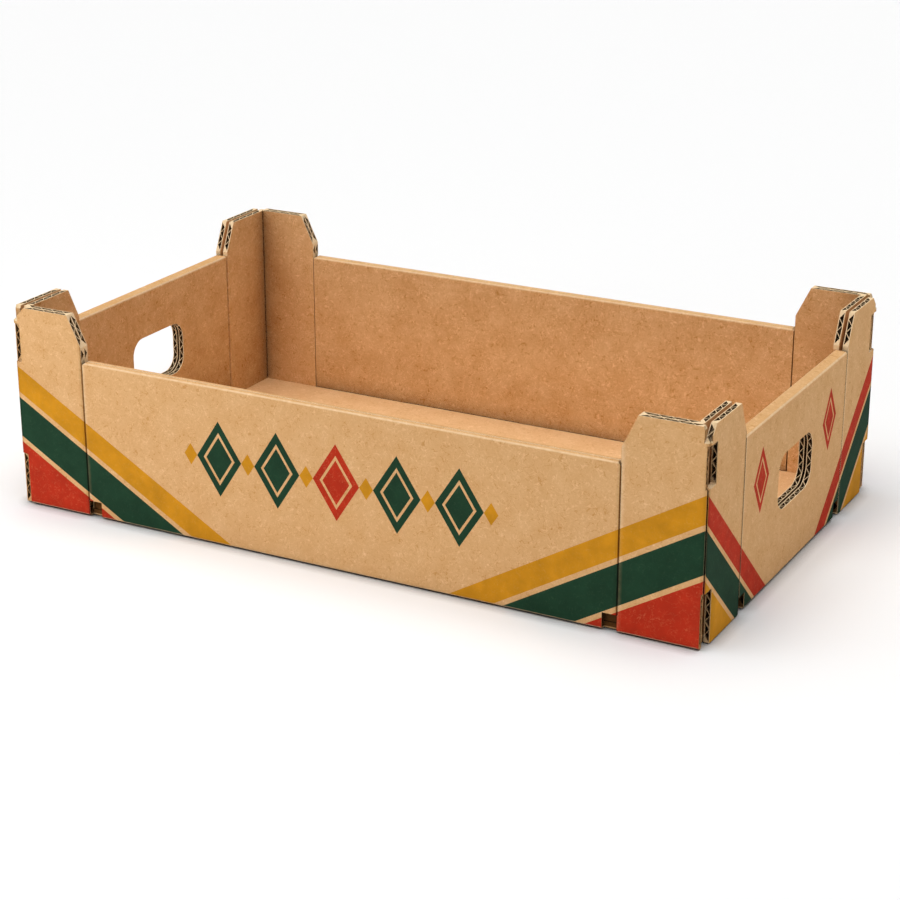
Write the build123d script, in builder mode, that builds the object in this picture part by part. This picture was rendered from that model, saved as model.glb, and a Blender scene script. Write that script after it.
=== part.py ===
# Corrugated cardboard produce tray: one folded blank and four glued corner posts.
# The origin is at the middle of the underside, X runs along the long walls, Z is up.
import math
import os

from build123d import *

# Outside of the tray
tray_length = 500.0
tray_width = 300.0
long_wall_height = 109.0
short_wall_height = 116.0
corner_height = 140.0

# Corrugated board
board = 3.8
liner = 0.5
flute_pitch = 9.0
flute_web = 0.7
cell_depth = 4.0
cell_margin = 2.0
corner_cell_depth = 2.4
corner_cell_margin = 1.8

# Corner legs of the outer walls, and the posts behind them
leg_on_long_wall = 55.0
leg_on_short_wall = 58.0
wall_chamfer_run = 10.0
wall_chamfer_drop = 21.0
slotted_chamfer_run = 9.4
plain_chamfer_run = 4.8
corner_chamfer_drop = 10.0
post_gap = 2.6

# Slots that let the corner fold close: a right corner has them in its short leg,
# a left corner in its long leg, and the other leg ends just short of the fold
fold_neck = 1.5
upper_slot_length = 27.0
lower_slot_height = 36.0
slot_in_short_leg = 12.0
slot_in_long_leg = 5.2
plain_leg_setback = 2.0
slot_corner_radius = 1.3
fold_slit_width = 0.9
fold_slit_depth = 2.4
post_groove = 0.6

# Rolled-over walls
long_wall_gap = 0.3
short_wall_gap = 1.7
fold_radius = 1.8
crease_width = 1.5
crease_depth = 0.55
seam = 0.8
roll_end_cut = 1.5

# Notches in the bottom folds
notch_width = 10.0
notch_height = 11.0

# Hand holes
hand_hole_length = 62.0
hand_hole_height = 38.0
hand_hole_radius = 12.0
hand_hole_middle = 63.0

# Tabs that lock the inner walls into the floor
tab_width = 34.0
tab_clearance = 0.4
tab_lift = 0.3
long_tab_inset = 65.0
short_tab_inset = 42.0

overcut = 1.0

# Worked-out places; the front right quarter is modelled, so Y is negative there
half_length = tray_length / 2
half_width = tray_width / 2
leg_seam_x = half_length - leg_on_long_wall
leg_seam_y = -(half_width - leg_on_short_wall)
outer_long_face = -half_width
outer_long_back = -half_width + board
inner_long_back = outer_long_back + long_wall_gap
inner_long_face = inner_long_back + board
outer_short_face = half_length
outer_short_back = half_length - board
inner_short_back = outer_short_back - short_wall_gap
inner_short_face = inner_short_back - board
post_back = outer_short_back - post_gap
post_face = post_back - board
shoulder = corner_height - wall_chamfer_drop
upper_slot_top = corner_height - corner_chamfer_drop - fold_neck
upper_slot_bottom = upper_slot_top - upper_slot_length
half_pitch = flute_pitch / 2
core = board - 2 * liner
long_tab_x = leg_seam_x - long_tab_inset
long_tab_y = (inner_long_back + inner_long_face) / 2
short_tab_x = (inner_short_back + inner_short_face) / 2
short_tab_y = leg_seam_y + short_tab_inset

# Feet of the two legs of the front right corner, in the middle of their boards
up = Vector(0, 0, 1)
long_leg_foot = Vector(half_length, (outer_long_face + outer_long_back) / 2, 0)
short_leg_foot = Vector((outer_short_face + outer_short_back) / 2, -half_width, 0)
along_long_leg = Vector(-1, 0, 0)
along_short_leg = Vector(0, 1, 0)


def flute_cell(middle, side):
    # one open flute seen end on: a triangle standing on one liner, on either side
    reach = half_pitch - flute_web
    return Polygon(
        (middle - side * reach, -side * core / 2),
        (middle + side * reach, -side * core / 2),
        (middle, side * core / 2),
        align=None,
    )


def flute_row(start, end, outward, margin=cell_margin, depth=cell_depth, first=1):
    # open flutes along one straight cut edge, whose middle line runs from start to end
    line_start = Vector(*start)
    line = Vector(*end) - line_start
    middle = line_start + line * 0.5
    count = int((line.length - 2 * margin) / half_pitch)
    edge = Plane(origin=middle, x_dir=line, z_dir=Vector(*outward))
    with BuildPart() as row:
        with BuildSketch(edge.offset(overcut)):
            for index in range(count):
                flute_cell((index - (count - 1) / 2) * half_pitch, first * (1 - 2 * (index % 2)))
        extrude(amount=-(depth + overcut))
    return row.part


def hand_hole_outline(distance):
    # point and outward direction at a distance along half the outline, from its top middle
    flat = hand_hole_length / 2 - hand_hole_radius
    upright = hand_hole_height - 2 * hand_hole_radius
    arc = math.pi / 2 * hand_hole_radius
    if distance < flat:
        return (-distance, hand_hole_height / 2), 90.0
    if distance < flat + arc:
        turn = (distance - flat) / arc * 90
        centre = (-flat, upright / 2)
    elif distance < flat + arc + upright:
        down = distance - flat - arc
        return (-hand_hole_length / 2, upright / 2 - down), 180.0
    elif distance < flat + 2 * arc + upright:
        turn = (distance - flat - arc - upright) / arc * 90 + 90
        centre = (-flat, -upright / 2)
    else:
        return (distance - 2 * flat - 2 * arc - upright, -hand_hole_height / 2), 270.0
    angle = math.radians(90 + turn)
    point = (
        centre[0] + hand_hole_radius * math.cos(angle),
        centre[1] + hand_hole_radius * math.sin(angle),
    )
    return point, 90 + turn


def hand_hole_flutes(board_middle):
    # open flutes round half a hand hole, in one of the two boards of the short wall
    flat = hand_hole_length / 2 - hand_hole_radius
    upright = hand_hole_height - 2 * hand_hole_radius
    half_outline = 2 * flat + upright + math.pi * hand_hole_radius
    count = round(half_outline / half_pitch)
    flutes = []
    for index in range(count + 1):
        (across, up), heading = hand_hole_outline(index * half_outline / count)
        angle = math.radians(heading)
        into_hole = Vector(0, -math.cos(angle), -math.sin(angle))
        along = Vector(0, -math.sin(angle), math.cos(angle))
        edge = Plane(
            origin=(board_middle, across, hand_hole_middle + up),
            x_dir=along,
            z_dir=into_hole,
        )
        with BuildPart() as flute:
            with BuildSketch(edge.offset(overcut)):
                flute_cell(0, 1 - 2 * (index % 2))
            extrude(amount=-(cell_depth + overcut))
        flutes.append(flute.part)
    return flutes


def leg_flutes(foot, along, leg, chamfer_run):
    # open flutes on the top, on the chamfer and in the notch of one outer leg
    def at(distance, height):
        return foot + along * distance + up * height

    chamfer_top = leg - wall_chamfer_run
    far_side = leg + notch_width
    return [
        flute_row(at(chamfer_top, corner_height), at(chamfer_run, corner_height), up),
        flute_row(
            at(leg, shoulder),
            at(chamfer_top, corner_height),
            along * wall_chamfer_drop + up * wall_chamfer_run,
        ),
        flute_row(at(leg, 0), at(leg, notch_height), along),
        flute_row(at(far_side, 0), at(far_side, notch_height), -along),
    ]


def slot_flutes(foot, along, slot_end):
    # open flutes on one leg's edges in the two slots of its corner
    edge = foot + along * slot_end
    return [
        flute_row(edge + up * upper_slot_bottom, edge + up * upper_slot_top, -along),
        flute_row(edge, edge + up * lower_slot_height, -along),
    ]


def corner_chamfer_flutes(foot, along):
    # shallow open flutes on the chamfer of a slotted leg, over its slot
    return flute_row(
        foot + along * slotted_chamfer_run + up * corner_height,
        foot + up * (corner_height - corner_chamfer_drop),
        up * slotted_chamfer_run - along * corner_chamfer_drop,
        corner_cell_margin,
        corner_cell_depth,
    )


def leg_cuts(foot, along, chamfer_run, slot_start, slot_end):
    # what comes off one leg at its corner: the chamfer on top and its share of the slots
    with BuildPart() as cuts:
        with BuildSketch(Plane(origin=foot, x_dir=along, z_dir=along.cross(up))) as outline:
            Polygon(
                (chamfer_run, corner_height),
                (chamfer_run, corner_height + overcut),
                (-overcut, corner_height + overcut),
                (-overcut, corner_height - corner_chamfer_drop),
                (0, corner_height - corner_chamfer_drop),
                align=None,
            )
            with Locations((slot_start, upper_slot_bottom)):
                Rectangle(
                    slot_end - slot_start, upper_slot_length, align=(Align.MIN, Align.MIN)
                )
            with Locations((slot_start, 0)):
                Rectangle(
                    slot_end - slot_start, lower_slot_height, align=(Align.MIN, Align.MIN)
                )
            slot_corners = outline.vertices().filter_by_position(
                Axis.X, slot_end - liner / 2, slot_end + liner / 2
            )
            slot_corners = slot_corners.filter_by_position(Axis.Y, board, upper_slot_top + board)
            fillet(slot_corners, slot_corner_radius)
        extrude(amount=board / 2, both=True)
    return cuts.part


def post_flutes():
    # open flutes on the top, chamfered and shoulder edges of one corner post
    long_middle = outer_long_back + board / 2
    short_middle = post_back - board / 2
    chamfer_start_x = leg_seam_x + wall_chamfer_run
    chamfer_start_y = leg_seam_y - wall_chamfer_run
    return [
        flute_row(
            (chamfer_start_x, long_middle, corner_height),
            (half_length - slotted_chamfer_run, long_middle, corner_height),
            (0, 0, 1),
            first=-1,
        ),
        flute_row(
            (leg_seam_x, long_middle, shoulder),
            (chamfer_start_x, long_middle, corner_height),
            (-wall_chamfer_drop, 0, wall_chamfer_run),
            first=-1,
        ),
        flute_row(
            (leg_seam_x, long_middle, long_wall_height),
            (leg_seam_x, long_middle, shoulder),
            (-1, 0, 0),
        ),
        flute_row(
            (short_middle, outer_long_back + board, corner_height),
            (short_middle, chamfer_start_y, corner_height),
            (0, 0, 1),
        ),
        flute_row(
            (short_middle, leg_seam_y, shoulder),
            (short_middle, chamfer_start_y, corner_height),
            (0, wall_chamfer_drop, wall_chamfer_run),
        ),
    ]


# Tray body: floor, outer walls with their corner legs, and rolled-over inner walls.
# One quarter is folded up and mirrored, the two front corners are cut, and all is mirrored again.
hole_edge_flutes = hand_hole_flutes((outer_short_face + outer_short_back) / 2)
hole_edge_flutes += hand_hole_flutes((inner_short_face + inner_short_back) / 2)
step_flutes = flute_row(
    long_leg_foot + along_long_leg * leg_on_long_wall + up * long_wall_height,
    long_leg_foot + along_long_leg * leg_on_long_wall + up * shoulder,
    along_long_leg,
)
right_corner_cuts = [
    leg_cuts(long_leg_foot, along_long_leg, plain_chamfer_run, -overcut, plain_leg_setback),
    leg_cuts(short_leg_foot, along_short_leg, slotted_chamfer_run, board, slot_in_short_leg),
    *leg_flutes(long_leg_foot, along_long_leg, leg_on_long_wall, plain_chamfer_run),
    *leg_flutes(short_leg_foot, along_short_leg, leg_on_short_wall, slotted_chamfer_run),
    *slot_flutes(long_leg_foot, along_long_leg, plain_leg_setback),
    *slot_flutes(short_leg_foot, along_short_leg, slot_in_short_leg),
    corner_chamfer_flutes(short_leg_foot, along_short_leg),
]
left_corner_cuts = [
    leg_cuts(long_leg_foot, along_long_leg, slotted_chamfer_run, board, slot_in_long_leg),
    leg_cuts(short_leg_foot, along_short_leg, plain_chamfer_run, -overcut, plain_leg_setback),
    *leg_flutes(long_leg_foot, along_long_leg, leg_on_long_wall, slotted_chamfer_run),
    *leg_flutes(short_leg_foot, along_short_leg, leg_on_short_wall, plain_chamfer_run),
    *slot_flutes(short_leg_foot, along_short_leg, plain_leg_setback),
    corner_chamfer_flutes(long_leg_foot, along_long_leg),
]

with BuildPart() as tray_body:
    # Floor, hinged to the long wall all along and to the short wall between the legs
    with BuildSketch():
        Rectangle(outer_short_back - seam, half_width, align=(Align.MIN, Align.MAX))
        Rectangle(half_length, -leg_seam_y - seam, align=(Align.MIN, Align.MAX))
    extrude(amount=board)

    # Outer board of the long wall, with its taller chamfered leg
    with BuildSketch(Plane.XZ.offset(half_width)):
        with BuildLine():
            Polyline(
                (0, 0),
                (half_length, 0),
                (half_length, corner_height),
                (leg_seam_x + wall_chamfer_run, corner_height),
                (leg_seam_x, shoulder),
                (leg_seam_x, long_wall_height - fold_radius),
                (0, long_wall_height - fold_radius),
                close=True,
            )
        make_face()
    extrude(amount=-board)

    # Leg that turns the corner and lies in the plane of the short wall
    with BuildSketch(Plane.YZ.offset(outer_short_back)):
        with BuildLine():
            Polyline(
                (-half_width, 0),
                (leg_seam_y, 0),
                (leg_seam_y, shoulder),
                (leg_seam_y - wall_chamfer_run, corner_height),
                (-half_width, corner_height),
                close=True,
            )
        make_face()
    extrude(amount=board)

    # Long wall rolled over: outer board, double crease on top, inner board
    with BuildSketch(Plane.YZ) as long_wall_section:
        with Locations((outer_long_face, board)):
            Rectangle(
                inner_long_face - outer_long_face,
                long_wall_height - board,
                align=(Align.MIN, Align.MIN),
            )
        fillet(long_wall_section.vertices().group_by(Axis.Y)[-1], fold_radius)
        with Locations((outer_long_back, board)):
            Rectangle(
                long_wall_gap,
                long_wall_height - 2 * board,
                align=(Align.MIN, Align.MIN),
                mode=Mode.SUBTRACT,
            )
        with Locations((outer_long_back, board)):
            Rectangle(
                inner_long_face - outer_long_back,
                tab_clearance,
                align=(Align.MIN, Align.MIN),
                mode=Mode.SUBTRACT,
            )
        with Locations(((outer_long_face + inner_long_face) / 2, long_wall_height)):
            Triangle(
                a=crease_width,
                b=math.hypot(crease_width / 2, crease_depth),
                c=math.hypot(crease_width / 2, crease_depth),
                align=(Align.CENTER, Align.MIN),
                rotation=180,
                mode=Mode.SUBTRACT,
            )
    extrude(amount=leg_seam_x - seam)

    # Short wall rolled over a flat spine, with a space between its two boards
    with BuildSketch(Plane.XZ) as short_wall_section:
        with Locations((inner_short_face, 0)):
            Rectangle(
                outer_short_face - inner_short_face,
                short_wall_height,
                align=(Align.MIN, Align.MIN),
            )
        fillet(short_wall_section.vertices().group_by(Axis.Y)[-1], fold_radius)
        with Locations((inner_short_back, 0)):
            Rectangle(
                short_wall_gap,
                short_wall_height - board,
                align=(Align.MIN, Align.MIN),
                mode=Mode.SUBTRACT,
            )
        with Locations((inner_short_face, 0)):
            Rectangle(
                board,
                board + tab_clearance,
                align=(Align.MIN, Align.MIN),
                mode=Mode.SUBTRACT,
            )
    extrude(amount=-leg_seam_y - seam)

    # Tabs under the inner boards, and the floor slots that hold them
    with BuildSketch():
        with Locations((0, long_tab_y), (long_tab_x, long_tab_y)):
            Rectangle(tab_width + 2 * tab_clearance, board + 2 * tab_clearance)
        with Locations((short_tab_x, short_tab_y)):
            Rectangle(board + 2 * tab_clearance, tab_width + 2 * tab_clearance)
    extrude(amount=board, mode=Mode.SUBTRACT)
    with BuildSketch(Plane.XY.offset(tab_lift)):
        with Locations((0, long_tab_y), (long_tab_x, long_tab_y)):
            Rectangle(tab_width, board)
        with Locations((short_tab_x, short_tab_y)):
            Rectangle(board, tab_width)
    extrude(amount=2 * board)
    split(bisect_by=Plane.YZ, keep=Keep.TOP)

    # Notches across the two bottom folds, beside each leg
    with BuildSketch(Plane.XZ.offset(half_width)):
        with Locations((leg_seam_x, 0)):
            Rectangle(notch_width, notch_height, align=(Align.MAX, Align.MIN))
    extrude(amount=-board, mode=Mode.SUBTRACT)
    with BuildSketch(Plane.YZ.offset(outer_short_back)):
        with Locations((leg_seam_y, 0)):
            Rectangle(notch_width, notch_height, align=(Align.MIN, Align.MIN))
    extrude(amount=board, mode=Mode.SUBTRACT)

    # Corner fold cut through where the slots are: one shut at both ends, one open below
    with BuildSketch(Plane.XY.offset(upper_slot_bottom)):
        with Locations((half_length, -half_width)):
            Rectangle(2 * plain_leg_setback, 2 * plain_leg_setback)
    extrude(amount=upper_slot_length, mode=Mode.SUBTRACT)
    with BuildSketch():
        with Locations((half_length, -half_width)):
            Rectangle(2 * plain_leg_setback, 2 * plain_leg_setback)
    extrude(amount=lower_slot_height, mode=Mode.SUBTRACT)

    # Bevelled end of the roll-over beside the leg, and the scored line below it
    with BuildSketch(Plane.XZ.offset(half_width)):
        with BuildLine():
            Polyline(
                (leg_seam_x - seam - roll_end_cut, long_wall_height),
                (leg_seam_x - seam, long_wall_height),
                (leg_seam_x - seam, long_wall_height - roll_end_cut),
                close=True,
            )
        make_face()
    extrude(amount=-(inner_long_face - outer_long_face), mode=Mode.SUBTRACT)
    with BuildSketch(Plane.XY.offset(notch_height)):
        with Locations((leg_seam_x, outer_long_face)):
            Triangle(
                a=crease_width,
                b=math.hypot(crease_width / 2, crease_depth),
                c=math.hypot(crease_width / 2, crease_depth),
                align=(Align.CENTER, Align.MIN),
            )
    extrude(amount=long_wall_height - notch_height, mode=Mode.SUBTRACT)

    # Hand hole through both boards of the short wall
    with BuildSketch(Plane.YZ.offset(inner_short_face)):
        with Locations((0, hand_hole_middle)):
            RectangleRounded(hand_hole_length, hand_hole_height, hand_hole_radius)
    extrude(amount=outer_short_face - inner_short_face, mode=Mode.SUBTRACT)

    # Rounded outside of the folds
    long_bottom_fold = tray_body.edges().filter_by(Axis.X).group_by(Axis.Z)[0].group_by(Axis.Y)[0]
    fillet(long_bottom_fold, fold_radius)
    corner_fold = tray_body.edges().filter_by(Axis.Z).group_by(Axis.X)[-1].group_by(Axis.Y)[0]
    fillet(corner_fold, fold_radius)
    short_bottom_fold = tray_body.edges().filter_by(Axis.Y).group_by(Axis.Z)[0].group_by(Axis.X)[-1]
    fillet(short_bottom_fold.sort_by(Axis.Y)[-1], fold_radius)

    # Slit down the corner fold, between its slots
    with BuildSketch(Plane.XY.offset(lower_slot_height)):
        with Locations((half_length, -half_width)):
            Rectangle(2 * fold_slit_depth, fold_slit_width, rotation=-45)
    extrude(amount=upper_slot_bottom - lower_slot_height, mode=Mode.SUBTRACT)

    # Open flutes round the hand hole, beside the long wall's top and on its leg
    add(hole_edge_flutes + [step_flutes], mode=Mode.SUBTRACT)

    mirror(about=Plane.YZ)

    # Chamfers and slots of the right corner, then of the left one, and their open flutes
    add(right_corner_cuts, mode=Mode.SUBTRACT)
    add([mirror(cut, about=Plane.YZ, mode=Mode.PRIVATE) for cut in left_corner_cuts], mode=Mode.SUBTRACT)

    mirror(about=Plane.XZ)

# Corner post: one folded board standing on the floor inside the front right corner
post_edge_flutes = post_flutes()

with BuildPart() as corner_post:
    with BuildSketch(Plane.XZ.offset(-outer_long_back)):
        with BuildLine():
            Polyline(
                (leg_seam_x, board),
                (post_back, board),
                (post_back, corner_height),
                (leg_seam_x + wall_chamfer_run, corner_height),
                (leg_seam_x, shoulder),
                close=True,
            )
        make_face()
    extrude(amount=-board)
    with BuildSketch(Plane.YZ.offset(post_face)):
        with BuildLine():
            Polyline(
                (outer_long_back, board),
                (leg_seam_y, board),
                (leg_seam_y, shoulder),
                (leg_seam_y - wall_chamfer_run, corner_height),
                (outer_long_back, corner_height),
                close=True,
            )
        make_face()
    extrude(amount=board)
    post_fold = corner_post.edges().filter_by(Axis.Z).group_by(Axis.X)[-1].group_by(Axis.Y)[0]
    fillet(post_fold, fold_radius)
    with BuildSketch(Plane.XY.offset(board)):
        with Locations((post_face, outer_long_back + board)):
            Rectangle(2 * post_groove, 2 * post_groove)
    extrude(amount=corner_height - board, mode=Mode.SUBTRACT)
    add(post_edge_flutes, mode=Mode.SUBTRACT)

front_right = corner_post.part
back_right = mirror(front_right, about=Plane.XZ)
posts = {
    "corner_post_front_right": front_right,
    "corner_post_front_left": mirror(front_right, about=Plane.YZ),
    "corner_post_back_right": back_right,
    "corner_post_back_left": mirror(back_right, about=Plane.YZ),
}

os.makedirs("parts", exist_ok=True)
tray_body.part.label = "tray_body"
export_step(tray_body.part, "parts/tray_body.step")
for name, post in posts.items():
    post.label = name
    export_step(post, f"parts/{name}.step")
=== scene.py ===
import math

import bpy
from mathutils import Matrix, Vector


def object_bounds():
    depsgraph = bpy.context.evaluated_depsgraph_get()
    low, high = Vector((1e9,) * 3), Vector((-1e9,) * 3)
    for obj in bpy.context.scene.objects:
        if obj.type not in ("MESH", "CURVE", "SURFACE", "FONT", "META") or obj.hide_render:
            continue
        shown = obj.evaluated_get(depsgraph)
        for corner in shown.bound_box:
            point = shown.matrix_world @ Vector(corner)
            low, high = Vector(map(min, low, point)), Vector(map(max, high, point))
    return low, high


# Corrugated produce tray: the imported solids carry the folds, slots and open flutes,
# and this script gives them their board, their print, a studio and a camera.

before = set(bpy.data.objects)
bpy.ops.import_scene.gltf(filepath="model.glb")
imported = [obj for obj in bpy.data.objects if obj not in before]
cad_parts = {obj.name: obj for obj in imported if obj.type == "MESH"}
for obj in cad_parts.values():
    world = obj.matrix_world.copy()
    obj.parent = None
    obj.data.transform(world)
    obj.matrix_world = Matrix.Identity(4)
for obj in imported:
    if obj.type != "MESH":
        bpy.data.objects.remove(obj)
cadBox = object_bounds()
scene = bpy.context.scene
perMetre = 1000.0    # the scene is in metres, and most measures of the board in millimetres
print("frame loaded:", sorted(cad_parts))


# ---- shader arithmetic

def feed(tree, value, socket):
    # a number or a colour is set, and an output is linked
    if isinstance(value, (int, float, tuple)):
        socket.default_value = value
    else:
        tree.links.new(value, socket)


def calc(tree, operation, first, second=None, third=None, clamp=False):
    node = tree.nodes.new("ShaderNodeMath")
    node.operation = operation
    node.use_clamp = clamp
    for index, value in enumerate((first, second, third)):
        if value is not None:
            feed(tree, value, node.inputs[index])
    return node.outputs[0]


def chain(tree, operation, parts):
    result = parts[0]
    for part in parts[1:]:
        result = calc(tree, operation, result, part)
    return result


def total(tree, parts):
    return chain(tree, "ADD", parts)


def either(tree, parts):
    return chain(tree, "MAXIMUM", parts)


def both(tree, parts):
    return chain(tree, "MULTIPLY", parts)


def over(tree, value, limit):
    return calc(tree, "GREATER_THAN", value, limit)


def under(tree, value, limit):
    return calc(tree, "LESS_THAN", value, limit)


def between(tree, value, low, high):
    return both(tree, [over(tree, value, low), under(tree, value, high)])


def opposite(tree, mask):
    return calc(tree, "SUBTRACT", 1.0, mask)


def lowered(tree, mask, amount):
    # 1 off the mask, and less by the amount on it
    return calc(tree, "MULTIPLY_ADD", mask, -amount, 1.0)


def distance(tree, value, middle):
    return calc(tree, "ABSOLUTE", calc(tree, "SUBTRACT", value, middle))


def remap(tree, value, fromLow, fromHigh, toLow, toHigh, smooth=False):
    node = tree.nodes.new("ShaderNodeMapRange")
    node.interpolation_type = "SMOOTHSTEP" if smooth else "LINEAR"
    tree.links.new(value, node.inputs["Value"])
    limits = {"From Min": fromLow, "From Max": fromHigh, "To Min": toLow, "To Max": toHigh}
    for name, number in limits.items():
        node.inputs[name].default_value = number
    return node.outputs["Result"]


def noise(tree, vector, scale, detail=2.0, roughness=0.5, distortion=0.0):
    node = tree.nodes.new("ShaderNodeTexNoise")
    node.inputs["Scale"].default_value = scale
    node.inputs["Detail"].default_value = detail
    node.inputs["Roughness"].default_value = roughness
    node.inputs["Distortion"].default_value = distortion
    tree.links.new(vector, node.inputs["Vector"])
    return node.outputs["Fac"]


def moved(tree, vector, shift):
    node = tree.nodes.new("ShaderNodeMapping")
    node.inputs["Location"].default_value = shift
    tree.links.new(vector, node.inputs["Vector"])
    return node.outputs["Vector"]


def openness(tree, reach, onlyOwn):
    # 1 in the open, and less where light is shut out within the reach, in metres
    node = tree.nodes.new("ShaderNodeAmbientOcclusion")
    node.inputs["Distance"].default_value = reach
    node.samples = 1
    node.only_local = onlyOwn
    return node.outputs["AO"]


def joined(tree, channels):
    node = tree.nodes.new("ShaderNodeCombineXYZ")
    for channel, socket in zip(channels, node.inputs):
        tree.links.new(channel, socket)
    return node.outputs[0]


def parted(tree, vector):
    node = tree.nodes.new("ShaderNodeSeparateXYZ")
    tree.links.new(vector, node.inputs[0])
    return list(node.outputs)


def tinted(tree, share, colourA, colourB):
    node = tree.nodes.new("ShaderNodeMix")
    node.data_type = "RGBA"
    wanted = (("Factor", "VALUE", share), ("A", "RGBA", colourA), ("B", "RGBA", colourB))
    for name, kind, value in wanted:
        socket = [s for s in node.inputs if s.name == name and s.type == kind][0]
        feed(tree, value, socket)
    return [s for s in node.outputs if s.type == "RGBA"][0]


def scaled(tree, colour, factor):
    node = tree.nodes.new("ShaderNodeVectorMath")
    node.operation = "SCALE"
    tree.links.new(colour, node.inputs[0])
    tree.links.new(factor, node.inputs["Scale"])
    return node.outputs[0]


def multiplied(tree, first, second):
    node = tree.nodes.new("ShaderNodeVectorMath")
    node.operation = "MULTIPLY"
    tree.links.new(first, node.inputs[0])
    tree.links.new(second, node.inputs[1])
    return node.outputs[0]


# ---- camera

camera = {
    "place": (0.68390, -1.27096, 0.57577),
    "turn": 28.249,     # degrees to the left of +Y
    "tilt": -20.630,    # degrees from level, and negative as it looks down
    "lens": 89.496,
    "sensor": 36.0,
    "farthest": 50.0,
}


def makeCamera():
    data = bpy.data.cameras.new("studioCamera")
    data.sensor_width = camera["sensor"]
    data.lens = camera["lens"]
    data.clip_end = camera["farthest"]
    shot = bpy.data.objects.new("studioCamera", data)
    shot.location = camera["place"]
    shot.rotation_euler = (math.radians(90 + camera["tilt"]), 0, math.radians(camera["turn"]))
    scene.collection.objects.link(shot)
    scene.camera = shot
    print("camera at", camera["place"])


# ---- light and floor

studio = {
    "world": 0.15,
    "overheadFrom": (0.06, -0.10, 1.0),
    "overheadSpread": 80.0,    # degrees, so that the shadows are soft
    "overheadStrength": 2.30,
    "slantingFrom": (-0.45, -0.35, 0.85),
    "slantingSpread": 60.0,
    "slantingStrength": 0.50,
    "panelPlace": (-0.48, -0.55, 0.26),
    "panelSize": 0.30,
    "panelPower": 0.71,
    "panelAim": (-0.25, -0.15, 0.07),
    "floorSize": 24.0,
    "floorDrop": 0.0009,
    "floorColour": (0.99, 0.99, 0.99),
    "floorRoughness": 0.85,
    "floorShine": 0.2,
    # painted contact shadow: reach, occlusion at the foot and in the open, the shade at the
    # foot, and its powers for red, green and blue, which take back the brown that the board
    # sends to the floor
    "paintedContactShadow": (
        (0.010, 0.50, 0.92, 0.08, (1.0, 1.0, 1.0)),
        (0.060, 0.50, 1.0, 0.84, (1.0, 0.65, 0.35)),
    ),
}


def turnToward(lamp, direction):
    # a lamp shines along its own -Z
    east, north, up = direction
    lamp.rotation_euler = (math.atan2(math.hypot(east, north), -up), 0, math.atan2(-east, north))


def makeSun(name):
    data = bpy.data.lights.new(name, "SUN")
    data.energy = studio[name + "Strength"]
    data.angle = math.radians(studio[name + "Spread"])
    lamp = bpy.data.objects.new(name, data)
    turnToward(lamp, [-part for part in studio[name + "From"]])
    scene.collection.objects.link(lamp)


def makePanel(name):
    data = bpy.data.lights.new(name, "AREA")
    data.shape = "SQUARE"
    data.size = studio["panelSize"]
    data.energy = studio["panelPower"]
    lamp = bpy.data.objects.new(name, data)
    lamp.location = studio["panelPlace"]
    turnToward(lamp, [aim - own for aim, own in zip(studio["panelAim"], studio["panelPlace"])])
    scene.collection.objects.link(lamp)


def makeWorld():
    world = bpy.data.worlds.new("studioWorld")
    scene.world = world
    world.use_nodes = True
    background = world.node_tree.nodes["Background"]
    background.inputs["Color"].default_value = (1, 1, 1, 1)
    background.inputs["Strength"].default_value = studio["world"]


def makeGround():
    # painted contact shadow: the floor's colour darkens where the tray stands on it
    material = bpy.data.materials.new("paleFloor")
    material.use_nodes = True
    tree = material.node_tree
    surface = tree.nodes["Principled BSDF"]
    channels = studio["floorColour"]
    for reach, low, high, dark, powers in studio["paintedContactShadow"]:
        near = remap(tree, openness(tree, reach, False), low, high, dark, 1.0)
        shades = [calc(tree, "POWER", near, power) for power in powers]
        channels = [both(tree, pair) for pair in zip(shades, channels)]
    tree.links.new(joined(tree, channels), surface.inputs["Base Color"])
    surface.inputs["Roughness"].default_value = studio["floorRoughness"]
    surface.inputs["Specular IOR Level"].default_value = studio["floorShine"]
    return material


def makeStudio():
    makeWorld()
    makeSun("overhead")
    makeSun("slanting")
    makePanel("sidePanel")
    low = -studio["floorDrop"]
    bpy.ops.mesh.primitive_plane_add(size=studio["floorSize"], location=(0, 0, low))
    floor = bpy.context.object
    floor.name = "studioFloor"
    floor.data.materials.append(makeGround())
    scene.view_settings.view_transform = "Standard"
    scene.view_settings.look = "None"
    print("three lights and the floor")


# ---- kraft liner

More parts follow.
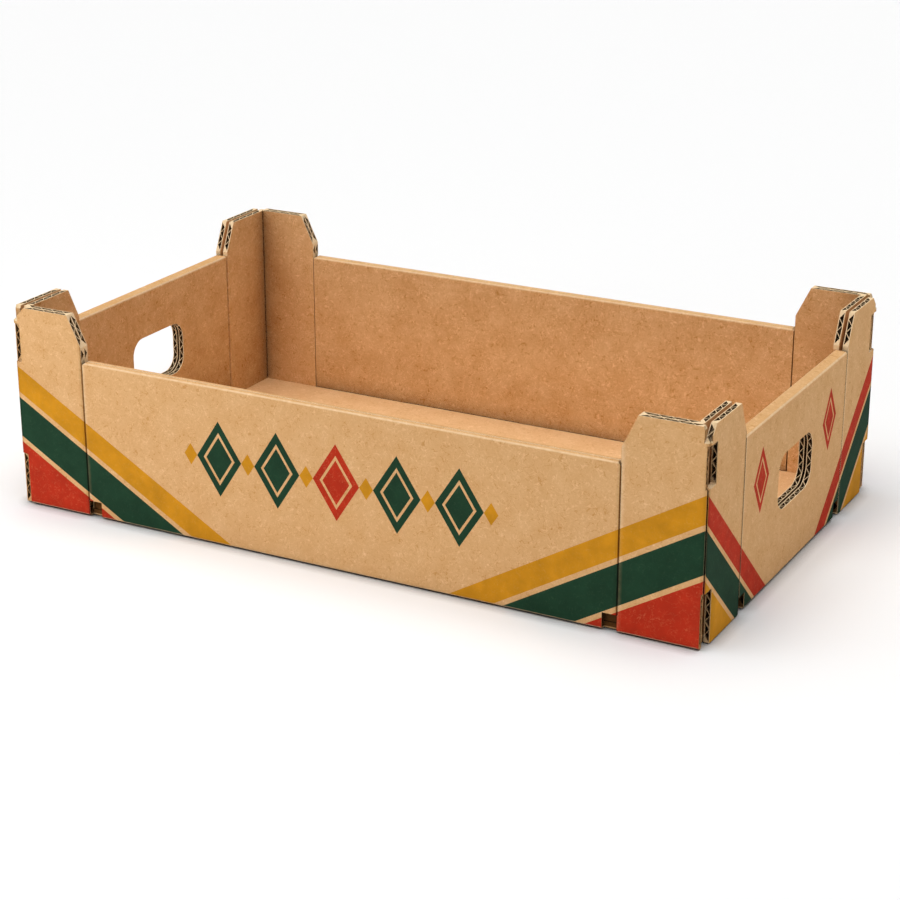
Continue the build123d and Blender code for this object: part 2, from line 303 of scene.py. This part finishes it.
kraft = {
    "palest": (0.968, 0.658, 0.360, 1),
    "deep": (0.600, 0.290, 0.088, 1),
    "toneLow": -0.6,           # the tone of the palest colour; the deep one has 1
    "tone": 0.46,
    "insidePaintedLight": -0.24,       # painted light makes the inner liner a little paler
    "insideContrast": 0.7,     # and its strokes are stronger by this share
    # painted light: the upper side of the tray's floor is paler
    "floorPaintedLight": -0.38,
    "curlScale": 215.0,
    "curlDarkScale": 0.9,      # of the scale of the light strokes
    "curlWidth": 0.021,
    "curlLight": 0.44,
    "curlDark": 0.46,
    "fineScale": 330.0,
    "fineWidth": 0.024,
    "fineDepth": 0.40,
    "contour": 0.5,
    "strokeDetail": 1.0,
    "strokeCurl": 0.8,
    "gapScale": 0.7,           # of the scale of the strokes
    "gapRange": (0.34, 0.46),
    "cloudScale": 60.0,
    "cloudDetail": 4.0,
    "cloudDepth": 0.14,
    "grainScale": 800.0,
    "grainDetail": 2.0,
    "grainDepth": 0.09,
    "grainRelief": 0.3,
    "mottleRoughness": 0.6,
    "mottleRange": (0.3, 0.7),
    "speckScale": 380.0,
    "speckRange": (0.78, 0.86),
    "speckDepth": 0.35,
    # apart from each other in the noise, so that no two layers run alike
    "lightShift": (0.3, 0.1, 0.2),
    "darkShift": (1.7, 2.1, 0.9),
    "fineShift": (2.9, 0.4, 1.3),
    "speckShift": (4.1, 0.7, 2.3),
    # the board's section: its paler paper, made lighter still by a painted highlight
    "cut": (0.960, 0.740, 0.460, 1),
    "cutShare": 0.85,
    "roughness": 0.82,
    "shine": 0.12,
    "bump": 0.12,
    "bumpHeight": 0.0004,
}


def makeFibres(tree, place, shift, scale, width):
    # contour lines of a warped noise are curly strokes once a second noise breaks them
    here = moved(tree, place, shift)
    field = noise(tree, here, scale, kraft["strokeDetail"], distortion=kraft["strokeCurl"])
    stroke = remap(tree, distance(tree, field, kraft["contour"]), 0.0, width, 1.0, 0.0)
    breaks = noise(tree, here, scale * kraft["gapScale"], 0.0)
    gaps = remap(tree, breaks, *kraft["gapRange"], 0.0, 1.0)
    return calc(tree, "MULTIPLY", stroke, gaps, clamp=True)


def makeMottle(tree, place, scale, detail):
    field = noise(tree, place, scale, detail, kraft["mottleRoughness"])
    return remap(tree, field, *kraft["mottleRange"], -1.0, 1.0)


def makeBoard(tree, place):
    # tone of the liner, a height for its relief, the fine strokes and the broad mottling
    scale, width = kraft["curlScale"], kraft["curlWidth"]
    light = makeFibres(tree, place, kraft["lightShift"], scale, width)
    dark = makeFibres(tree, place, kraft["darkShift"], scale * kraft["curlDarkScale"], width)
    fine = makeFibres(tree, place, kraft["fineShift"], kraft["fineScale"], kraft["fineWidth"])
    cloud = makeMottle(tree, place, kraft["cloudScale"], kraft["cloudDetail"])
    grain = makeMottle(tree, place, kraft["grainScale"], kraft["grainDetail"])
    specks = noise(tree, moved(tree, place, kraft["speckShift"]), kraft["speckScale"], 0.0)
    speck = remap(tree, specks, *kraft["speckRange"], 0.0, 1.0)
    tone = total(tree, [
        calc(tree, "MULTIPLY", light, -kraft["curlLight"]),
        calc(tree, "MULTIPLY", dark, kraft["curlDark"]),
        calc(tree, "MULTIPLY", fine, -kraft["fineDepth"]),
        calc(tree, "MULTIPLY", cloud, kraft["cloudDepth"]),
        calc(tree, "MULTIPLY", speck, kraft["speckDepth"]),
        calc(tree, "MULTIPLY_ADD", grain, kraft["grainDepth"], kraft["tone"]),
    ])
    height = total(tree, [light, fine, calc(tree, "MULTIPLY", grain, kraft["grainRelief"])])
    return tone, height, fine, cloud


# ---- places on the folded board

# in millimetres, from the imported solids
folded = {
    "boardBack": 146.1,
    "sideBack": 246.1,
    "innerSideFace": 236.0,
    "leafEnd": 138.0,
    "longTop": 109.0,
    "shortTop": 116.0,
    "cornerTop": 129.0,
    "rollHeight": 1.2,
    "floorTop": 5.0,
    "floorEnds": (240.0, 142.0),
    "longSeam": 195.0,
    "shortSeam": 92.0,
    "seamReach": 3.0,
    "noSeam": 99.0,
}

# the share of a face's normal that lies along an axis
facing = {
    "mostly": 0.5,
    "across": 0.25,    # at most, on a face that crosses a board
    "sloped": 0.2,
    "squarely": 0.75,
}


def makePlaces(tree, coordinates):
    # distances from the middle in millimetres, and how squarely a face looks along each axis
    place = parted(tree, coordinates.outputs["Object"])
    x, y, z = [calc(tree, "MULTIPLY", part, perMetre) for part in place]
    east, north, up = parted(tree, coordinates.outputs["Normal"])
    return {
        "x": calc(tree, "ABSOLUTE", x),
        "y": calc(tree, "ABSOLUTE", y),
        "z": z,
        "outX": calc(tree, "MULTIPLY", east, calc(tree, "SIGN", x)),
        "outY": calc(tree, "MULTIPLY", north, calc(tree, "SIGN", y)),
        "turn": both(tree, [calc(tree, "SIGN", x), calc(tree, "SIGN", y)]),
        "rise": up,
        "alongX": calc(tree, "ABSOLUTE", east),
        "alongY": calc(tree, "ABSOLUTE", north),
        "alongZ": calc(tree, "ABSOLUTE", up),
    }


def onCorner(tree, at):
    return both(tree, [
        over(tree, at["y"], folded["boardBack"]),
        over(tree, at["x"], folded["sideBack"]),
    ])


def makeFloor(tree, at):
    # the upper side of the floor panel
    endX, endY = folded["floorEnds"]
    return both(tree, [
        under(tree, at["z"], folded["floorTop"]),
        over(tree, at["rise"], facing["mostly"]),
        under(tree, at["x"], endX),
        under(tree, at["y"], endY),
    ])


def makeCuts(tree, at):
    # faces that cross a board: its liners and flutes in section. The floor and the tops of
    # the rolled walls are level too, but there the liner lies on top.
    longBoard = both(tree, [
        over(tree, at["y"], folded["boardBack"]),
        under(tree, at["x"], folded["sideBack"]),
    ])
    shortBoard = both(tree, [
        over(tree, at["x"], folded["innerSideFace"]),
        under(tree, at["y"], folded["boardBack"]),
    ])
    crossing = either(tree, [
        both(tree, [longBoard, under(tree, at["alongY"], facing["across"])]),
        both(tree, [shortBoard, under(tree, at["alongX"], facing["across"])]),
        both(tree, [
            onCorner(tree, at),
            over(tree, at["alongZ"], facing["sloped"]),
            over(tree, at["z"], folded["cornerTop"]),
        ]),
    ])
    roll = folded["rollHeight"]
    covered = total(tree, [
        under(tree, at["z"], folded["floorTop"]),
        between(tree, at["z"], folded["longTop"] - roll, folded["longTop"] + roll),
        between(tree, at["z"], folded["shortTop"] - roll, folded["shortTop"] + roll),
    ])
    level = both(tree, [covered, over(tree, at["alongZ"], facing["mostly"])])
    return calc(tree, "SUBTRACT", crossing, level, clamp=True)


def makePostCuts(tree, at):
    # tops and chamfers, and the upright ends of the two leaves, of which the one on the
    # short leg shows above the short wall alone
    aboveWall = over(tree, at["z"], folded["shortTop"])
    return either(tree, [
        both(tree, [aboveWall, over(tree, at["rise"], facing["sloped"])]),
        both(tree, [
            under(tree, at["x"], folded["innerSideFace"]),
            over(tree, at["alongX"], facing["squarely"]),
        ]),
        both(tree, [
            under(tree, at["y"], folded["leafEnd"]),
            over(tree, at["alongY"], facing["squarely"]),
            aboveWall,
        ]),
    ])


def pastSeam(tree, at):
    # millimetres to the right of the nearest seam, seen from outside, and far off on other faces
    onLong = both(tree, [
        over(tree, at["y"], folded["boardBack"]),
        over(tree, at["outY"], facing["mostly"]),
    ])
    onShort = both(tree, [
        over(tree, at["x"], folded["sideBack"]),
        over(tree, at["outX"], facing["mostly"]),
    ])
    longPast = calc(tree, "SUBTRACT", at["x"], folded["longSeam"])
    shortPast = calc(tree, "SUBTRACT", at["y"], folded["shortSeam"])
    elsewhere = opposite(tree, either(tree, [onLong, onShort]))
    return total(tree, [
        both(tree, [onLong, longPast, calc(tree, "MULTIPLY", at["turn"], -1.0)]),
        both(tree, [onShort, shortPast, at["turn"]]),
        calc(tree, "MULTIPLY", elsewhere, folded["noSeam"]),
    ])


# ---- shade of flutes, hollows, notches and seams

shading = {
    # reach in metres, occlusion where the shade is full and where it ends, and the full shade
    "cells": (0.006, 0.10, 0.60, 0.03),
    "hollows": (0.016, 0.10, 0.75, 0.20),
    "rooms": (0.045, 0.20, 0.72, 0.50),
    "longWallFoot": (10.0, 60.0, 0.94),    # the inner long walls stay light down to the floor
    "endWallFoot": (5.0, 105.0, 0.74),     # the inner end walls darken towards it
    "warmth": (1.25, 1.7),                 # powers of the shade for green and blue
    # in millimetres
    "notchReach": 13.0,
    "notchLong": (142.6, 149.6),
    "notchShort": (241.2, 249.6),
    "notchRise": (0.8, 11.2),
    "notchShadeDepth": 0.78,
    "seamLip": 0.4,
    "seamShade": 0.80,
    "groove": (-0.75, 0.05),
    "grooveDepth": 0.42,
    "longEdge": (246.6, 249.0, 1.0, 0.82),
    "shortEdge": (146.0, 149.0, 1.0, 0.62),
}


def shutOut(tree, reach, low, high, dark):
    # how much of the light near a point its surroundings let in
    return remap(tree, openness(tree, reach, True), low, high, dark, 1.0, smooth=True)


def makeNotchShade(tree, at):
    # painted shade in the openings in the bottom folds beside each leg
    reach = shading["notchReach"]
    behind = either(tree, [
        both(tree, [
            between(tree, at["x"], folded["longSeam"] - reach, folded["longSeam"] + reach),
            between(tree, at["y"], *shading["notchLong"]),
        ]),
        both(tree, [
            between(tree, at["y"], folded["shortSeam"] - reach, folded["shortSeam"] + reach),
            between(tree, at["x"], *shading["notchShort"]),
        ]),
    ])
    notch = both(tree, [behind, between(tree, at["z"], *shading["notchRise"])])
    return lowered(tree, notch, shading["notchShadeDepth"])


def makeEdgeShade(tree, at):
    # the board turns away from the light at the left of each seam and at the corner slits
    past = pastSeam(tree, at)
    left = (-folded["seamReach"], -shading["seamLip"])
    seam = either(tree, [
        remap(tree, past, *left, 1.0, shading["seamShade"]),
        over(tree, past, 0.0),
    ])
    groove = lowered(tree, between(tree, past, *shading["groove"]), shading["grooveDepth"])
    longEdge = either(tree, [
        remap(tree, at["x"], *shading["longEdge"]),
        under(tree, at["outY"], facing["mostly"]),
    ])
    shortEdge = either(tree, [
        remap(tree, at["y"], *shading["shortEdge"]),
        under(tree, at["outX"], facing["mostly"]),
    ])
    return both(tree, [seam, groove, longEdge, shortEdge])


def makeShade(tree, at, notched):
    # painted shade: open flutes and seams go dark, and the hollows and inner corners of the
    # walls deepen
    cells = shutOut(tree, *shading["cells"])
    hollows = shutOut(tree, *shading["hollows"])
    rooms = shutOut(tree, *shading["rooms"])
    longWall = both(tree, [
        under(tree, at["outY"], -facing["mostly"]),
        under(tree, at["x"], folded["longSeam"]),
    ])
    foot = remap(tree, at["z"], *shading["longWallFoot"], 0.0)
    rooms = either(tree, [rooms, both(tree, [longWall, foot])])
    level = over(tree, at["alongZ"], facing["mostly"])
    deep = either(tree, [level, both(tree, [hollows, rooms])])
    endWall = both(tree, [
        under(tree, at["outX"], -facing["mostly"]),
        under(tree, at["x"], folded["sideBack"]),
    ])
    sunk = either(tree, [
        remap(tree, at["z"], *shading["endWallFoot"], 1.0),
        opposite(tree, endWall),
    ])
    shade = either(tree, [both(tree, [cells, deep, sunk]), makeFloor(tree, at)])
    if notched:
        shade = both(tree, [shade, makeNotchShade(tree, at), makeEdgeShade(tree, at)])
    # light that has bounced between brown faces loses its blue first
    warm = [calc(tree, "POWER", shade, power) for power in shading["warmth"]]
    return joined(tree, [shade] + warm)


# ---- wear, and painted highlights

wearAndHighlight = {
    # worn kraft colour, laid also as a painted highlight on the folds and beside the seams
    "colour": (0.930, 0.700, 0.450, 1),
    "fold": 0.55,
    "seam": 0.42,
    "turning": (0.97, 0.86),     # how squarely a face looks, bare and fully worn and highlighted
    "insideFrom": 100.0,         # the height from which the inner folds are worn and highlighted as well
    "cornerLess": 0.6,
    "offSeam": 1.0,              # the flanks of a seam are no fold
    "seamStart": 0.1,
    "seamFull": 0.7,
    "patchScale": 260.0,
    "patchRange": (0.35, 0.65),
    "patchShare": (0.7, 1.15),
    # how much ink gives way to the painted highlight beside the seams
    "inkLess": 0.22,
}


def makeWearAndHighlight(tree, at, place):
    # worn folds with a painted highlight, where a face turns between two of the axes, and a
    # painted highlight on the edges beside the seams
    squarely = either(tree, [at["alongX"], at["alongY"], at["alongZ"]])
    outside = either(tree, [
        over(tree, at["z"], wearAndHighlight["insideFrom"]),
        over(tree, at["y"], folded["boardBack"]),
        over(tree, at["x"], folded["sideBack"]),
    ])
    past = pastSeam(tree, at)
    fold = both(tree, [
        remap(tree, squarely, *wearAndHighlight["turning"], 0.0, 1.0),
        outside,
        lowered(tree, onCorner(tree, at), wearAndHighlight["cornerLess"]),
        over(tree, calc(tree, "ABSOLUTE", past), wearAndHighlight["offSeam"]),
    ])
    seam = both(tree, [
        over(tree, past, wearAndHighlight["seamStart"]),
        remap(tree, past, wearAndHighlight["seamFull"], folded["seamReach"], 1.0, 0.0),
    ])
    patches = noise(tree, place, wearAndHighlight["patchScale"])
    patchy = remap(tree, patches, *wearAndHighlight["patchRange"], *wearAndHighlight["patchShare"])
    return both(tree, [fold, patchy, wearAndHighlight["fold"]]), both(tree, [seam, patchy, wearAndHighlight["seam"]])


# ---- print: flat fields of three inks, laid out in millimetres on the outer faces

inks = {
    "green": (0.012, 0.046, 0.022, 1),
    "greenPale": (0.040, 0.095, 0.050, 1),
    "greenFleck": 0.30,
    "red": (0.485, 0.030, 0.009, 1),
    "redPale": (0.700, 0.170, 0.075, 1),
    "redFleck": 0.42,
    "ochre": (0.615, 0.262, 0.010, 1),
    "ochrePale": (0.700, 0.370, 0.070, 1),
    "ochreFleck": 0.30,
    "mottle": 0.15,
}

printed = {
    "depth": 2.0,     # how far behind the outermost face a face still takes print
    "facing": 0.3,
    "cornerRise": 110.0,
    "cornerRun": 190.0,
    "sideRun": 118.0,
    "core": 0.41,
    "gap": 0.035,
    "middleRing": 0.70,
    "outerRing": 0.90,
    "rowSpacing": 44.0,
    "rowCount": 2,    # on each side of the middle one
    "rowHeight": 60.0,
    "rowHalf": (17.0, 26.0),
    "inset": (0.58, 0.70),
    "stopHalf": (5.0, 7.5),
    "sideMiddle": (62.0, 78.0),
    "sideHalf": (13.0, 22.0),
}


def diamond(tree, spot, middle, half):
    # 0 at the middle, 1 on the outline
    return total(tree, [
        calc(tree, "MULTIPLY", distance(tree, value, centre), 1 / reach)
        for value, centre, reach in zip(spot, middle, half)
    ])


def cornerFields(tree, spot, edge, run):
    # three nested fields that stand on the bottom fold and wrap round a corner
    across, up = spot
    reach = total(tree, [
        calc(tree, "MULTIPLY", calc(tree, "SUBTRACT", edge, across), 1 / run),
        calc(tree, "MULTIPLY", up, 1 / printed["cornerRise"]),
    ])
    core, gap, middle = printed["core"], printed["gap"], printed["middleRing"]
    return (
        under(tree, reach, core),
        between(tree, reach, core + gap, middle),
        between(tree, reach, middle + gap, printed["outerRing"]),
    )


def framed(tree, reach):
    # a lozenge with a bare line left inside it
    return calc(
        tree, "SUBTRACT",
        under(tree, reach, 1.0),
        between(tree, reach, *printed["inset"]),
    )


def makePrint(tree, at):
    # one mask for each ink
    halfLength, halfWidth = [float(half) * perMetre for half in cadBox[1][:2]]
    onLong = both(tree, [
        over(tree, at["y"], halfWidth - printed["depth"]),
        over(tree, at["outY"], printed["facing"]),
    ])
    onShort = both(tree, [
        over(tree, at["x"], halfLength - printed["depth"]),
        over(tree, at["outX"], printed["facing"]),
        opposite(tree, onLong),
    ])
    longSpot, shortSpot = (at["x"], at["z"]), (at["y"], at["z"])
    longFields = cornerFields(tree, longSpot, halfLength, printed["cornerRun"])
    shortFields = cornerFields(tree, shortSpot, halfWidth, printed["sideRun"])

    greenRow, redRow, ochreRow = [], [], []
    spacing, height = printed["rowSpacing"], printed["rowHeight"]
    for index in range(printed["rowCount"] + 1):
        reach = diamond(tree, longSpot, (index * spacing, height), printed["rowHalf"])
        (greenRow if index else redRow).append(framed(tree, reach))
        stop = diamond(tree, longSpot, ((index + 0.5) * spacing, height), printed["stopHalf"])
        ochreRow.append(under(tree, stop, 1.0))
    sideReach = diamond(tree, shortSpot, printed["sideMiddle"], printed["sideHalf"])
    sideRed = framed(tree, sideReach)

    laid = {
        "green": ([longFields[1]] + greenRow, [shortFields[1]]),
        "red": ([longFields[0]] + redRow, [shortFields[2], sideRed]),
        "ochre": ([longFields[2]] + ochreRow, [shortFields[0]]),
    }
    return {
        ink: either(tree, [
            both(tree, [onLong, either(tree, longParts)]),
            both(tree, [onShort, either(tree, shortParts)]),
        ])
        for ink, (longParts, shortParts) in laid.items()
    }


# ---- materials

def makeLiner(tree, at, tone):
    # pale and deep kraft by the tone of the board, inside and on the floor with their own tones
    # of painted light
    inward = either(tree, [
        under(tree, at["outX"], -facing["mostly"]),
        under(tree, at["outY"], -facing["mostly"]),
    ])
    uneven = calc(tree, "SUBTRACT", tone, kraft["tone"])
    tone = total(tree, [
        calc(tree, "MULTIPLY", inward, kraft["insidePaintedLight"]),
        both(tree, [inward, uneven, kraft["insideContrast"]]),
        calc(tree, "MULTIPLY_ADD", makeFloor(tree, at), kraft["floorPaintedLight"], tone),
    ])
    share = remap(tree, tone, kraft["toneLow"], 1.0, 0.0, 1.0)
    return tinted(tree, share, kraft["palest"], kraft["deep"])


def layInks(tree, at, colour, fine, cloud, seam):
    # bare flecks along the fine strokes, mottling, and less ink under the painted highlight
    # beside the seams
    inkUnderHighlight = lowered(tree, seam, wearAndHighlight["inkLess"])
    mottle = lowered(tree, cloud, inks["mottle"])
    for ink, mask in makePrint(tree, at).items():
        flecks = calc(tree, "MULTIPLY", fine, inks[ink + "Fleck"])
        laid = scaled(tree, tinted(tree, flecks, inks[ink], inks[ink + "Pale"]), mottle)
        colour = tinted(tree, both(tree, [mask, inkUnderHighlight]), colour, laid)
    return colour


def makeKraft(name, withPrint):
    material = bpy.data.materials.new(name)
    material.use_nodes = True
    tree = material.node_tree
    surface = tree.nodes["Principled BSDF"]
    coordinates = tree.nodes.new("ShaderNodeTexCoord")
    place = coordinates.outputs["Object"]
    at = makePlaces(tree, coordinates)

    tone, height, fine, cloud = makeBoard(tree, place)
    colour = makeLiner(tree, at, tone)
    cuts = makeCuts(tree, at) if withPrint else makePostCuts(tree, at)
    # cut faces take the section colour, partly paler paper and partly a painted highlight
    cutShare = calc(tree, "MULTIPLY", cuts, kraft["cutShare"])
    colour = tinted(tree, cutShare, colour, kraft["cut"])
    # worn folds with a painted highlight, and a painted highlight beside each seam
    fold, seam = makeWearAndHighlight(tree, at, place)
    colour = tinted(tree, seam, colour, wearAndHighlight["colour"])
    if withPrint:
        colour = layInks(tree, at, colour, fine, cloud, seam)
    colour = tinted(tree, fold, colour, wearAndHighlight["colour"])
    # painted shade darkens the colour
    shaded = multiplied(tree, colour, makeShade(tree, at, withPrint))
    tree.links.new(shaded, surface.inputs["Base Color"])

    relief = tree.nodes.new("ShaderNodeBump")
    relief.inputs["Strength"].default_value = kraft["bump"]
    relief.inputs["Distance"].default_value = kraft["bumpHeight"]
    tree.links.new(height, relief.inputs["Height"])
    tree.links.new(relief.outputs["Normal"], surface.inputs["Normal"])
    surface.inputs["Roughness"].default_value = kraft["roughness"]
    surface.inputs["Specular IOR Level"].default_value = kraft["shine"]
    return material


def dressNodes():
    printedBoard = makeKraft("printedKraft", True)
    plainBoard = makeKraft("plainKraft", False)
    for name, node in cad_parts.items():
        material = printedBoard if name == "tray_body" else plainBoard
        node.data.materials.clear()
        node.data.materials.append(material)
    print("board and print on", len(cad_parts), "nodes")


makeCamera()
makeStudio()
dressNodes()
